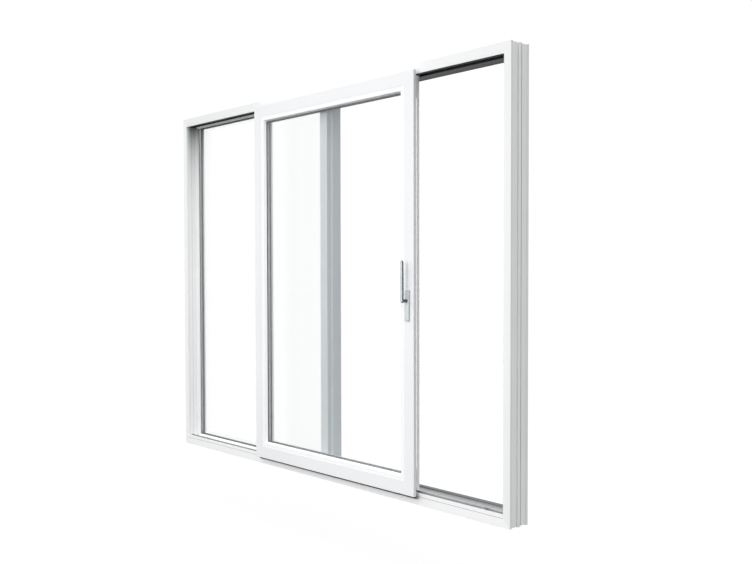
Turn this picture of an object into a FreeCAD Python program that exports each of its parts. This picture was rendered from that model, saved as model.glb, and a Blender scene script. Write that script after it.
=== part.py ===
import FreeCAD, Part
import os
import Sketcher

# Driving dimensions in millimetres, and angles in degrees. Every other size follows from these.
# X runs along the unit, Y from the room side to the outside, Z up.
SIZES = {
    # whole frame
    "frame_width": 2800.0,
    "frame_height": 2150.0,
    "frame_depth": 124.0,
    # frame profile, the same on all four sides
    "frame_face": 41.0,
    "rebate_drop": 8.0,
    "rear_leg_rise": 17.0,
    "rear_leg_depth": 10.0,
    "frame_edge_round": 1.2,
    "wall_lip_depth": 12.0,
    "wall_recess": 3.0,
    "wall_groove_width": 7.0,
    "wall_groove_cut": 6.0,
    "middle_land": 16.0,
    # centre mullion
    "mullion_left": 26.0,
    "mullion_face": 61.0,
    "mullion_flute_start": 25.0,
    "mullion_flute_width": 14.0,
    "mullion_flute_cut": 3.0,
    # bottom track, running rail and head guide
    "track_height": 19.0,
    "track_web": 3.0,
    "track_lip": 3.0,
    "rail_blade": 2.4,
    "rail_height": 10.0,
    "rail_foot_width": 8.0,
    "rail_foot_height": 1.5,
    "rail_setback": 13.0,
    "guide_drop": 11.0,
    "guide_web": 2.0,
    "guide_lip": 4.0,
    "guide_side_gap": 5.0,
    # infill profiles that close the glazing rebate round the doorway
    "sill_infill_top": 64.0,
    "sill_infill_floor": 60.0,
    "sill_infill_ledge": 13.0,
    "sill_infill_rear": 26.0,
    "head_infill_drop": 57.0,
    "infill_lap": 10.0,
    "infill_step": 3.0,
    "infill_flute_width": 20.0,
    "infill_flute_cut": 3.0,
    # sliding sash
    "sash_proud": 41.0,
    "sash_depth": 61.0,
    "sash_face": 68.0,
    "sash_edge_round": 1.5,
    "sash_lap": 13.0,
    "flange_lip": 22.0,
    "flange_thickness": 15.0,
    "jamb_gap": 6.0,
    "mullion_gap": 6.0,
    "meeting_inset": 6.0,
    "sash_rebate_rise": 10.0,
    "hardware_groove_start": 28.0,
    "hardware_groove_width": 16.0,
    "hardware_groove_cut": 3.0,
    "slid_open": 542.0,
    # glazing
    "pane_thickness": 4.0,
    "pane_gap": 16.0,
    "inner_gasket": 3.0,
    "outer_gasket": 3.0,
    "gasket_height": 8.0,
    "glass_edge_gap": 5.0,
    "spacer_height": 10.0,
    "spacer_edge_gap": 2.0,
    "sash_bead_height": 29.0,
    "sash_bead_depth": 18.0,
    "sash_bead_slope": 5.5,
    "sash_bead_setback": 1.0,
    "bead_edge_round": 3.0,
    "fixed_bead_depth": 21.0,
    "fixed_bead_gap": 1.0,
    "fixed_bead_toe": 7.0,
    "fixed_bead_back": 7.0,
    # seal behind the sash flange
    "seal_inset": 4.0,
    "seal_width": 6.0,
    "seal_thickness": 5.0,
    # roller carriages under the sash
    "carriage_length": 118.0,
    "carriage_inset": 160.0,
    "carriage_width": 10.0,
    "carriage_wall": 1.5,
    "carriage_below_axle": 4.2,
    "pocket_depth": 12.0,
    "axle_spacing": 80.0,
    "axle_radius": 2.4,
    "axle_hole_radius": 2.5,
    "wheel_width": 6.4,
    "wheel_tread_radius": 9.0,
    "wheel_flange_radius": 12.0,
    "wheel_side_gap": 0.5,
    "wheel_rail_gap": 0.3,
    # guide shoes on top of the sash
    "shoe_length": 90.0,
    "shoe_inset": 120.0,
    "shoe_top_gap": 5.0,
    "shoe_thickness": 6.0,
    # end buffers on the track
    "buffer_length": 30.0,
    "buffer_width": 10.0,
    "buffer_gap": 5.0,
    "open_stop_gap": 60.0,
    # drain hoods on the outside
    "hood_length": 60.0,
    "hood_height": 14.0,
    "hood_depth": 5.0,
    "hood_bottom": 16.0,
    "hood_inset": 250.0,
    # lock edge
    "faceplate_end_gap": 132.0,
    "faceplate_thickness": 2.5,
    "keeper_length": 90.0,
    "keeper_width": 16.0,
    "keeper_thickness": 4.0,
    "keeper_end_gap": 60.0,
    # handle
    "spindle_height": 1000.0,
    "handle_inset": 41.0,
    "plate_length": 152.0,
    "plate_width": 32.0,
    "plate_thickness": 10.0,
    "plate_top": 52.5,
    "plate_bore_radius": 10.5,
    "plate_corner_round": 5.0,
    "plate_rim_round": 3.0,
    "neck_radius": 9.5,
    "neck_engagement": 7.0,
    "lever_reach": 45.0,
    "lever_length": 205.0,
    "lever_heel": 10.0,
    "lever_width": 14.0,
    "lever_tip_width": 12.5,
    "lever_thickness": 11.0,
    "lever_tip_thickness": 9.0,
    "lever_edge_round": 2.5,
}


class Length:
    """A size with two faces: its value in millimetres and the sheet formula that gives it."""

    def __init__(self, value, formula):
        self.value = value
        self.formula = formula

    def __add__(self, other):
        other = as_length(other)
        return Length(self.value + other.value, "(%s + %s)" % (self.formula, other.formula))

    def __radd__(self, other):
        return as_length(other) + self

    def __sub__(self, other):
        other = as_length(other)
        return Length(self.value - other.value, "(%s - %s)" % (self.formula, other.formula))

    def __rsub__(self, other):
        return as_length(other) - self

    def __mul__(self, factor):
        return Length(self.value * factor, "(%s * %r)" % (self.formula, factor))

    def __rmul__(self, factor):
        return self * factor

    def __truediv__(self, divisor):
        return Length(self.value / divisor, "(%s / %r)" % (self.formula, divisor))

    def __neg__(self):
        return as_length(0) - self


def as_length(number):
    """Turn a bare number into a Length."""
    if isinstance(number, Length):
        return number
    return Length(float(number), repr(number))


doc = FreeCAD.newDocument("SlidingPatioDoor")
sheet = doc.addObject("Spreadsheet::Sheet", "Sizes")


class Sizes:
    """Each driving dimension as a Length, read by its name."""


for row, (alias, value) in enumerate(SIZES.items(), start=1):
    sheet.set("A%d" % row, alias)
    sheet.set("B%d" % row, "%r" % value)
    sheet.setAlias("B%d" % row, alias)
    setattr(Sizes, alias, Length(value, "Sizes." + alias))
doc.recompute()

size = Sizes
subparts = []

# How many of each piece in a row.
WHEELS_PER_CARRIAGE = 2
HOODS = 4

# Places that several pieces share.
ZERO = as_length(0)
CLOSE = 0.01  # how far apart two points may be and still count as the same
frame_left = -size.frame_width / 2
frame_right = size.frame_width / 2
frame_front = -size.frame_depth / 2
rebate_line = size.frame_face - size.rebate_drop
rear_line = size.frame_face + size.rear_leg_rise
rear_leg_front = size.frame_depth - size.rear_leg_depth
mullion_front = size.sash_depth - size.sash_proud + size.mullion_gap
mullion_right = size.mullion_left + size.mullion_face
glass_unit = size.pane_thickness * 2 + size.pane_gap
glazing_stack = size.inner_gasket + glass_unit + size.outer_gasket
fixed_glass_front = rear_leg_front - glazing_stack
fixed_bead_front = fixed_glass_front - size.fixed_bead_depth
front_leg_depth = fixed_bead_front - size.fixed_bead_gap
infill_setback = front_leg_depth + size.infill_step

track_top = size.frame_face + size.track_height
guide_line = size.frame_face + size.guide_drop
sash_bottom = track_top - size.sash_lap
sash_top = size.frame_height - guide_line + size.sash_lap
sash_height = sash_top - sash_bottom
closed_right = frame_right - size.frame_face + size.flange_lip - size.jamb_gap
closed_left = size.mullion_left + size.meeting_inset
sash_width = closed_right - closed_left
sash_left = closed_left - size.slid_open
sash_right = closed_right - size.slid_open
sash_front = frame_front - size.sash_proud
sash_rebate = size.sash_face + size.sash_rebate_rise
sash_sight = size.sash_face + size.sash_bead_height
open_left = frame_left + size.frame_face + size.open_stop_gap


def set_size(thing, prop, length):
    """Bind one property to the sheet."""
    thing.setExpression(prop, as_length(length).formula)


def place(thing, x, y, z, turn=0.0):
    """Put a sub-part at a point, turned about Y, with its place bound to the sheet."""
    thing.Placement = FreeCAD.Placement(
        FreeCAD.Vector(as_length(x).value, as_length(y).value, as_length(z).value),
        FreeCAD.Rotation(FreeCAD.Vector(0, 1, 0), turn),
    )
    set_size(thing, "Placement.Base.x", x)
    set_size(thing, "Placement.Base.y", y)
    set_size(thing, "Placement.Base.z", z)


def new_body(label):
    """Start a sub-part that is built up from sketches."""
    body = doc.addObject("PartDesign::Body", label)
    body.Label = label
    subparts.append(body)
    return body


def origin_plane(body, role):
    """Find one of the body's own origin planes."""
    for feature in body.Origin.OriginFeatures:
        if feature.Role == role:
            return feature
    raise RuntimeError("no plane " + role)


def new_sketch(body, name, role):
    """Start a sketch on one of the body's own origin planes."""
    sketch = body.newObject("Sketcher::SketchObject", name)
    sketch.AttachmentSupport = [(origin_plane(body, role), "")]
    sketch.MapMode = "FlatFace"
    return sketch


def fix_point(sketch, geometry, end, x, y):
    """Hold one point of a sketch at sizes from the sheet."""
    for kind, length, axis in (("DistanceX", as_length(x), -2), ("DistanceY", as_length(y), -1)):
        if length.value == 0.0:
            sketch.addConstraint(Sketcher.Constraint("PointOnObject", geometry, end, axis))
        else:
            index = sketch.addConstraint(
                Sketcher.Constraint(kind, -1, 1, geometry, end, length.value))
            sketch.setExpression("Constraints[%d]" % index, length.formula)


def add_outline(sketch, corners):
    """Draw a closed outline through corners given as Lengths."""
    first = sketch.GeometryCount
    points = [FreeCAD.Vector(as_length(x).value, as_length(y).value, 0) for x, y in corners]
    count = len(points)
    lines = [Part.LineSegment(points[i], points[(i + 1) % count]) for i in range(count)]
    sketch.addGeometry(lines)
    for i in range(count):
        sketch.addConstraint(
            Sketcher.Constraint("Coincident", first + i, 2, first + (i + 1) % count, 1))
    for i, (x, y) in enumerate(corners):
        fix_point(sketch, first + i, 1, x, y)


def add_circle(sketch, x, y, radius):
    """Draw a circle with its centre and radius from the sheet."""
    centre = FreeCAD.Vector(as_length(x).value, as_length(y).value, 0)
    index = sketch.addGeometry(Part.Circle(centre, FreeCAD.Vector(0, 0, 1), radius.value))
    fix_point(sketch, index, 3, x, y)
    constraint = sketch.addConstraint(Sketcher.Constraint("Radius", index, radius.value))
    sketch.setExpression("Constraints[%d]" % constraint, radius.formula)


def rectangle(left, bottom, right, top):
    """Corners of an upright rectangle."""
    return [(left, bottom), (right, bottom), (right, top), (left, top)]


def pad(body, sketch, length, reverse=False):
    """Extrude a sketch."""
    feature = body.newObject("PartDesign::Pad", sketch.Name + "Pad")
    feature.Profile = sketch
    feature.Reversed = reverse
    set_size(feature, "Length", length)
    return feature


def cut_both_ways(body, sketch, reach):
    """Cut a sketch out of the body, as far as reach on each side of the sketch plane."""
    feature = body.newObject("PartDesign::Pocket", sketch.Name + "Cut")
    feature.Profile = sketch
    feature.Midplane = True
    set_size(feature, "Length", reach * 2)
    return feature


def edges_where(shape, test):
    """Names of a shape's edges whose two end points pass a test."""
    names = []
    for number, edge in enumerate(shape.Edges, start=1):
        ends = [vertex.Point for vertex in edge.Vertexes]
        if len(ends) == 2 and test(ends[0], ends[1]):
            names.append("Edge%d" % number)
    return names


def round_edges(body, feature, test, radius):
    """Round the edges of the body's last feature that pass a test on their end points."""
    doc.recompute([body, feature])
    rounding = body.newObject("PartDesign::Fillet", feature.Name + "Rounded")
    rounding.Base = (feature, edges_where(feature.Shape, test))
    set_size(rounding, "Radius", radius)
    return rounding


def round_profile(body, profile, corners, radius):
    """Round the upright edges that a profile's section has at these corners."""
    places = [(as_length(x).value, as_length(y).value) for x, y in corners]

    def runs_up_a_corner(start, end):
        upright = abs(end.z - start.z) > radius.value
        return upright and any(
            abs(start.x - x) < CLOSE and abs(start.y - y) < CLOSE for x, y in places)

    return round_edges(body, profile, runs_up_a_corner, radius)


SIDES = {
    # side: turn about Y that brings the member's length from upright to its own direction
    "left": 0.0,
    "top": 90.0,
    "right": 180.0,
    "bottom": 270.0,
}


def mitred_member(label, section, side, left, bottom, width, height, front, reach, depth,
                  rounded=(), radius=None):
    """One side of a mitred rectangle.

    The section is drawn with x from the outer edge inwards and y from the front backwards,
    its rounded corners become rounded edges, and both ends are cut back at 45 degrees over
    the section's reach.
    """
    body = new_body(label)
    length = height if side in ("left", "right") else width
    outline = new_sketch(body, label + "Section", "XY_Plane")
    add_outline(outline, section)
    profile = pad(body, outline, length)
    if rounded:
        round_profile(body, profile, rounded, radius)
    mitres = new_sketch(body, label + "Mitres", "XZ_Plane")
    add_outline(mitres, [(ZERO, ZERO), (reach, ZERO), (reach, reach)])
    add_outline(mitres, [(ZERO, length), (reach, length - reach), (reach, length)])
    cut_both_ways(body, mitres, depth)
    corner_x = left if side in ("left", "top") else left + width
    corner_z = bottom if side in ("left", "bottom") else bottom + height
    place(body, corner_x, front, corner_z, SIDES[side])
    return body


def bar_along_x(label, section, left, right, front, bottom):
    """A straight profile along the unit: x of the section runs backwards, y up."""
    body = new_body(label)
    outline = new_sketch(body, label + "Section", "YZ_Plane")
    add_outline(outline, section)
    pad(body, outline, right - left)
    place(body, left, front, bottom)
    return body


def ring(label, left, bottom, width, height, front, band, thickness):
    """A flat rectangular ring, such as a gasket, laid from front backwards."""
    body = new_body(label)
    outline = new_sketch(body, label + "Outline", "XZ_Plane")
    add_outline(outline, rectangle(ZERO, ZERO, width, height))
    add_outline(outline, rectangle(band, band, width - band, height - band))
    pad(body, outline, thickness, reverse=True)
    place(body, left, front, bottom)
    return body


def slab(label, left, bottom, width, height, front, thickness):
    """A plain rectangular sub-part, such as a sheet of glass."""
    box = doc.addObject("Part::Box", label)
    box.Label = label
    set_size(box, "Length", width)
    set_size(box, "Width", thickness)
    set_size(box, "Height", height)
    place(box, left, front, bottom)
    subparts.append(box)


def glazing(name, left, bottom, width, height, front):
    """A sealed double-glazed unit with its gaskets, from the inner gasket backwards.

    left, bottom, width and height are the rebate's rectangle.
    """
    edge = size.glass_edge_gap
    glass_left = left + edge
    glass_bottom = bottom + edge
    glass_width = width - edge * 2
    glass_height = height - edge * 2
    inner_pane = front + size.inner_gasket
    outer_pane = inner_pane + size.pane_thickness + size.pane_gap
    ring(name + "_gasket_inner", glass_left, glass_bottom, glass_width, glass_height,
         front, size.gasket_height, size.inner_gasket)
    slab(name + "_pane_inner", glass_left, glass_bottom, glass_width, glass_height,
         inner_pane, size.pane_thickness)
    inset = size.spacer_edge_gap
    ring(name + "_spacer", glass_left + inset, glass_bottom + inset,
         glass_width - inset * 2, glass_height - inset * 2,
         inner_pane + size.pane_thickness, size.spacer_height, size.pane_gap)
    slab(name + "_pane_outer", glass_left, glass_bottom, glass_width, glass_height,
         outer_pane, size.pane_thickness)
    ring(name + "_gasket_outer", glass_left, glass_bottom, glass_width, glass_height,
         outer_pane + size.pane_thickness, size.gasket_height, size.outer_gasket)


# Outer frame: one profile, mitred at the four corners.
middle = size.frame_depth / 2
land_front = middle - size.middle_land / 2
land_rear = middle + size.middle_land / 2
groove_floor = size.wall_recess + size.wall_groove_cut
frame_section = [
    (ZERO, ZERO),
    (ZERO, size.wall_lip_depth),
    (size.wall_recess, size.wall_lip_depth),
    (size.wall_recess, land_front - size.wall_groove_width),
    (groove_floor, land_front - size.wall_groove_width),
    (groove_floor, land_front),
    (ZERO, land_front),
    (ZERO, land_rear),
    (groove_floor, land_rear),
    (groove_floor, land_rear + size.wall_groove_width),
    (size.wall_recess, land_rear + size.wall_groove_width),
    (size.wall_recess, size.frame_depth - size.wall_lip_depth),
    (ZERO, size.frame_depth - size.wall_lip_depth),
    (ZERO, size.frame_depth),
    (rear_line, size.frame_depth),
    (rear_line, rear_leg_front),
    (rebate_line, rear_leg_front),
    (rebate_line, front_leg_depth),
    (size.frame_face, front_leg_depth),
    (size.frame_face, ZERO),
]
frame_rounded = [
    (ZERO, ZERO),
    (ZERO, size.frame_depth),
    (rear_line, size.frame_depth),
    (rear_line, rear_leg_front),
    (size.frame_face, front_leg_depth),
    (size.frame_face, ZERO),
]
for label, side in (("left_jamb", "left"), ("frame_head", "top"),
                    ("right_jamb", "right"), ("frame_sill", "bottom")):
    mitred_member(label, frame_section, side, frame_left, ZERO,
                  size.frame_width, size.frame_height, frame_front, rear_line, size.frame_depth,
                  frame_rounded, size.frame_edge_round)


def frame_scribe(end, towards):
    """Outline of the frame's inner side, to cut the end of a member that butts against it.

    end is the member's end, and towards is 1 where the member runs up from it, or -1.
    """
    behind = size.frame_depth + size.wall_lip_depth
    steps = [
        (ZERO, ZERO),
        (ZERO, size.frame_face),
        (front_leg_depth, size.frame_face),
        (front_leg_depth, rebate_line),
        (rear_leg_front, rebate_line),
        (rear_leg_front, rear_line),
        (behind, rear_line),
        (behind, ZERO),
    ]
    return [(across, end + along * towards) for across, along in steps]


# Centre mullion between the fixed light and the doorway, scribed to the sill and head.
mullion = new_body("centre_mullion")
mullion_outline = new_sketch(mullion, "MullionSection", "XY_Plane")
leg = size.rear_leg_rise
flute_front = mullion_front + size.mullion_flute_start
flute_rear = flute_front + size.mullion_flute_width
right_side = leg + size.mullion_face
add_outline(mullion_outline, [
    (leg, mullion_front),
    (right_side, mullion_front),
    (right_side, flute_front),
    (right_side - size.mullion_flute_cut, flute_front),
    (right_side - size.mullion_flute_cut, flute_rear),
    (right_side, flute_rear),
    (right_side, size.frame_depth),
    (ZERO, size.frame_depth),
    (ZERO, rear_leg_front),
    (leg + size.rebate_drop, rear_leg_front),
    (leg + size.rebate_drop, front_leg_depth),
    (leg, front_leg_depth),
])
mullion_pad = pad(mullion, mullion_outline, size.frame_height)
round_profile(mullion, mullion_pad, [
    (leg, mullion_front),
    (right_side, mullion_front),
    (right_side, size.frame_depth),
    (ZERO, size.frame_depth),
    (ZERO, rear_leg_front),
], size.frame_edge_round)
mullion_ends = new_sketch(mullion, "MullionEnds", "YZ_Plane")
add_outline(mullion_ends, frame_scribe(ZERO, 1))
add_outline(mullion_ends, frame_scribe(size.frame_height, -1))
cut_both_ways(mullion, mullion_ends, right_side * 2)
place(mullion, size.mullion_left - leg, frame_front, ZERO)

# Bottom track with its running rail, and the guide under the head.
between_left = frame_left + size.frame_face
between_right = frame_right - size.frame_face
lip = size.track_lip
bar_along_x("bottom_track", [
    (ZERO, ZERO),
    (mullion_front, ZERO),
    (mullion_front, size.track_height),
    (mullion_front - lip, size.track_height),
    (mullion_front - lip, size.track_web),
    (lip, size.track_web),
    (lip, size.track_height),
    (ZERO, size.track_height),
], between_left, between_right, frame_front, size.frame_face)

rail_side = (size.rail_foot_width - size.rail_blade) / 2
bar_along_x("running_rail", [
    (ZERO, ZERO),
    (size.rail_foot_width, ZERO),
    (size.rail_foot_width, size.rail_foot_height),
    (rail_side + size.rail_blade, size.rail_foot_height),
    (rail_side + size.rail_blade, size.rail_height),
    (rail_side, size.rail_height),
    (rail_side, size.rail_foot_height),
    (ZERO, size.rail_foot_height),
], between_left, between_right,
    frame_front + size.rail_setback - size.rail_foot_width / 2,
    size.frame_face + size.track_web)

guide_channel = size.guide_side_gap * 2 + size.shoe_thickness
channel_top = size.guide_drop - size.guide_web
bar_along_x("head_guide", [
    (ZERO, ZERO),
    (size.guide_lip, ZERO),
    (size.guide_lip, channel_top),
    (size.guide_lip + guide_channel, channel_top),
    (size.guide_lip + guide_channel, ZERO),
    (mullion_front, ZERO),
    (mullion_front, size.guide_drop),
    (ZERO, size.guide_drop),
], between_left, between_right, frame_front, size.frame_height - guide_line)

# Infill profiles that close the frame's glazing rebate on the doorway's side.
infill_right = frame_right - rear_line
sill_infill = new_body("sill_infill")
sill_infill_outline = new_sketch(sill_infill, "SillInfillSection", "YZ_Plane")
add_outline(sill_infill_outline, [
    (mullion_front, size.frame_face),
    (front_leg_depth, size.frame_face),
    (front_leg_depth, rebate_line),
    (rear_leg_front, rebate_line),
    (rear_leg_front, rear_line),
    (size.frame_depth, rear_line),
    (size.frame_depth, size.sill_infill_top),
    (size.frame_depth - size.sill_infill_rear, size.sill_infill_top),
    (size.frame_depth - size.sill_infill_rear, size.sill_infill_floor),
    (mullion_front + size.sill_infill_ledge, size.sill_infill_floor),
    (mullion_front + size.sill_infill_ledge, size.sill_infill_top),
    (mullion_front, size.sill_infill_top),
])
sill_infill_length = between_right - mullion_right
pad(sill_infill, sill_infill_outline, sill_infill_length)
sill_infill_end = new_sketch(sill_infill, "SillInfillEnd", "XY_Plane")
add_outline(sill_infill_end, rectangle(
    infill_right - mullion_right, infill_setback,
    sill_infill_length + size.rear_leg_rise, size.frame_depth + size.rear_leg_depth))
cut_both_ways(sill_infill, sill_infill_end, size.frame_height)
place(sill_infill, mullion_right, frame_front, ZERO)

head_infill_front = front_leg_depth - size.infill_lap
bar_along_x("head_infill", [
    (head_infill_front, ZERO),
    (rear_leg_front, ZERO),
    (rear_leg_front, size.head_infill_drop - rebate_line),
    (infill_setback, size.head_infill_drop - rebate_line),
    (infill_setback, size.head_infill_drop - size.frame_face),
    (head_infill_front, size.head_infill_drop - size.frame_face),
], mullion_right, infill_right, frame_front, size.frame_height - size.head_infill_drop)

jamb_infill = new_body("jamb_infill")
jamb_infill_outline = new_sketch(jamb_infill, "JambInfillSection", "XY_Plane")
jamb_infill_width = rear_line - rebate_line
flute_from = (infill_setback + rear_leg_front - size.infill_flute_width) / 2
flute_to = flute_from + size.infill_flute_width
add_outline(jamb_infill_outline, [
    (ZERO, infill_setback),
    (jamb_infill_width, infill_setback),
    (jamb_infill_width, rear_leg_front),
    (ZERO, rear_leg_front),
    (ZERO, flute_to),
    (size.infill_flute_cut, flute_to),
    (size.infill_flute_cut, flute_from),
    (ZERO, flute_from),
])
pad(jamb_infill, jamb_infill_outline, size.frame_height - rebate_line * 2)
place(jamb_infill, infill_right, frame_front, rebate_line)

# Fixed light: glazed straight into the frame and the mullion.
fixed_left = frame_left + rebate_line
fixed_width = size.mullion_left + size.rebate_drop - fixed_left
fixed_height = size.frame_height - rebate_line * 2
fixed_bead_height = rear_line - rebate_line
fixed_bead_section = [
    (ZERO, ZERO),
    (size.fixed_bead_toe, ZERO),
    (fixed_bead_height, size.fixed_bead_depth - size.fixed_bead_back),
    (fixed_bead_height, size.fixed_bead_depth),
    (ZERO, size.fixed_bead_depth),
]
for side in SIDES:
    mitred_member("fixed_bead_" + side, fixed_bead_section, side, fixed_left, rebate_line,
                  fixed_width, fixed_height, frame_front + fixed_bead_front,
                  fixed_bead_height, size.fixed_bead_depth,
                  [(size.fixed_bead_toe, ZERO)], size.bead_edge_round)
glazing("fixed", fixed_left, rebate_line, fixed_width, fixed_height,
        frame_front + fixed_glass_front)

# Sliding sash: a flanged profile, mitred at the corners.
body_edge = size.flange_lip
hardware_front = size.hardware_groove_start
hardware_rear = hardware_front + size.hardware_groove_width
hardware_floor = body_edge + size.hardware_groove_cut
sash_leg_front = size.sash_bead_depth + glazing_stack
sash_section = [
    (ZERO, ZERO),
    (size.sash_face, ZERO),
    (size.sash_face, size.sash_bead_depth),
    (sash_rebate, size.sash_bead_depth),
    (sash_rebate, sash_leg_front),
    (sash_sight, sash_leg_front),
    (sash_sight, size.sash_depth),
    (body_edge, size.sash_depth),
    (body_edge, hardware_rear),
    (hardware_floor, hardware_rear),
    (hardware_floor, hardware_front),
    (body_edge, hardware_front),
    (body_edge, size.flange_thickness),
    (ZERO, size.flange_thickness),
]
sash_rounded = [
    (ZERO, ZERO),
    (sash_sight, size.sash_depth),
    (body_edge, size.sash_depth),
    (ZERO, size.flange_thickness),
]
sash_members = {}
for label, side in (("meeting_stile", "left"), ("sash_top_rail", "top"),
                    ("lock_stile", "right"), ("sash_bottom_rail", "bottom")):
    sash_members[side] = mitred_member(
        label, sash_section, side, sash_left, sash_bottom, sash_width, sash_height,
        sash_front, sash_sight, size.sash_depth, sash_rounded, size.sash_edge_round)

# Pockets in the bottom rail for the roller carriages. The rail's length runs from the right.
rail_centre = size.sash_proud + size.rail_setback
carriage_front = rail_centre - size.carriage_width / 2
carriage_ends = (
    ("right", size.carriage_inset),
    ("left", sash_width - size.carriage_inset - size.carriage_length),
)
bottom_rail = sash_members["bottom"]
pockets = new_sketch(bottom_rail, "CarriagePockets", "YZ_Plane")
for name, start in carriage_ends:
    add_outline(pockets, rectangle(carriage_front, start,
                                   carriage_front + size.carriage_width,
                                   start + size.carriage_length))
pocket_cut = bottom_rail.newObject("PartDesign::Pocket", "CarriagePocketsCut")
pocket_cut.Profile = pockets
pocket_cut.Midplane = True
set_size(pocket_cut, "Length", (body_edge + size.pocket_depth) * 2)

# Glazing beads on the room side of the sash, set back a little from the face.
bead_left = sash_left + size.sash_face
bead_bottom = sash_bottom + size.sash_face
bead_width = sash_width - size.sash_face * 2
bead_height = sash_height - size.sash_face * 2
bead_depth = size.sash_bead_depth - size.sash_bead_setback
sash_bead_section = [
    (ZERO, ZERO),
    (size.sash_bead_height - size.sash_bead_slope, ZERO),
    (size.sash_bead_height, bead_depth),
    (ZERO, bead_depth),
]
for side in SIDES:
    mitred_member("sash_bead_" + side, sash_bead_section, side, bead_left, bead_bottom,
                  bead_width, bead_height, sash_front + size.sash_bead_setback,
                  size.sash_bead_height, bead_depth,
                  [(size.sash_bead_height - size.sash_bead_slope, ZERO)], size.bead_edge_round)
glazing("sash", sash_left + sash_rebate, sash_bottom + sash_rebate,
        sash_width - sash_rebate * 2, sash_height - sash_rebate * 2,
        sash_front + size.sash_bead_depth)

# Seal behind the flange.
ring("sash_flange_seal", sash_left + size.seal_inset, sash_bottom + size.seal_inset,
     sash_width - size.seal_inset * 2, sash_height - size.seal_inset * 2,
     sash_front + size.flange_thickness, size.seal_width, size.seal_thickness)

# Roller carriages: a channel let into the rail, with two grooved wheels on axles.
body_bottom = sash_bottom + body_edge
rail_top = size.frame_face + size.track_web + size.rail_height
axle_height = rail_top + size.wheel_rail_gap + size.wheel_tread_radius
carriage_top = body_bottom + size.pocket_depth
carriage_bottom = axle_height - size.carriage_below_axle
carriage_height = carriage_top - carriage_bottom
first_axle = (size.carriage_length - size.axle_spacing) / 2
wheel_middle = size.wheel_width / 2
tread_half = size.rail_blade / 2 + size.wheel_side_gap
for name, start in carriage_ends:
    left_end = sash_right - start - size.carriage_length
    carriage = new_body(name + "_roller_carriage")
    channel = new_sketch(carriage, name + "ChannelSection", "YZ_Plane")
    wall = size.carriage_wall
    add_outline(channel, [
        (ZERO, ZERO),
        (wall, ZERO),
        (wall, carriage_height - wall),
        (size.carriage_width - wall, carriage_height - wall),
        (size.carriage_width - wall, ZERO),
        (size.carriage_width, ZERO),
        (size.carriage_width, carriage_height),
        (ZERO, carriage_height),
    ])
    pad(carriage, channel, size.carriage_length)
    axle_holes = new_sketch(carriage, name + "AxleHoles", "XZ_Plane")
    for centre in (first_axle, first_axle + size.axle_spacing):
        add_circle(axle_holes, centre, axle_height - carriage_bottom, size.axle_hole_radius)
    cut_both_ways(carriage, axle_holes, size.carriage_width * 2)
    place(carriage, left_end, sash_front + carriage_front, carriage_bottom)

    wheels = new_body(name + "_wheels")
    profile = new_sketch(wheels, name + "WheelSection", "YZ_Plane")
    side_gap = (size.carriage_width - size.wheel_width) / 2
    add_outline(profile, [
        (ZERO, ZERO),
        (size.carriage_width, ZERO),
        (size.carriage_width, size.axle_radius),
        (side_gap + size.wheel_width, size.axle_radius),
        (side_gap + size.wheel_width, size.wheel_flange_radius),
        (side_gap + wheel_middle + tread_half, size.wheel_tread_radius),
        (side_gap + wheel_middle - tread_half, size.wheel_tread_radius),
        (side_gap, size.wheel_flange_radius),
        (side_gap, size.axle_radius),
        (ZERO, size.axle_radius),
    ])
    turned = wheels.newObject("PartDesign::Revolution", name + "WheelTurned")
    turned.Profile = profile
    turned.ReferenceAxis = (profile, ["H_Axis"])
    turned.Angle = 360.0
    doc.recompute()
    pair = wheels.newObject("PartDesign::LinearPattern", name + "WheelPair")
    pair.Originals = [turned]
    pair.Direction = (origin_plane(wheels, "X_Axis"), [""])
    pair.Occurrences = WHEELS_PER_CARRIAGE
    set_size(pair, "Length", size.axle_spacing)
    wheels.Tip = pair
    place(wheels, left_end + first_axle, sash_front + carriage_front, axle_height)

# Guide shoes on top of the sash, which ride in the head guide.
body_top = sash_top - body_edge
shoe_front = frame_front + size.guide_lip + size.guide_side_gap
shoe_top = size.frame_height - size.frame_face - size.guide_web - size.shoe_top_gap
shoes = new_body("guide_shoes")
shoe_outlines = new_sketch(shoes, "ShoeOutlines", "XY_Plane")
for left_end in (size.shoe_inset, sash_width - size.shoe_inset - size.shoe_length):
    add_outline(shoe_outlines, rectangle(
        left_end, ZERO, left_end + size.shoe_length, size.shoe_thickness))
pad(shoes, shoe_outlines, shoe_top - body_top)
place(shoes, sash_left, shoe_front, body_top)

# Buffers on the track, one for each end of the sash's travel.
buffers = new_body("track_buffers")
buffer_outlines = new_sketch(buffers, "BufferOutlines", "XY_Plane")
open_buffer = open_left + size.carriage_inset - size.buffer_gap - size.buffer_length
closed_buffer = closed_right - size.carriage_inset + size.buffer_gap
for left_end in (ZERO, closed_buffer - open_buffer):
    add_outline(buffer_outlines, rectangle(
        left_end, ZERO, left_end + size.buffer_length, size.buffer_width))
pad(buffers, buffer_outlines, body_bottom - size.buffer_gap - rail_top)
place(buffers, open_buffer, frame_front + size.rail_setback - size.buffer_width / 2, rail_top)

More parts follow.
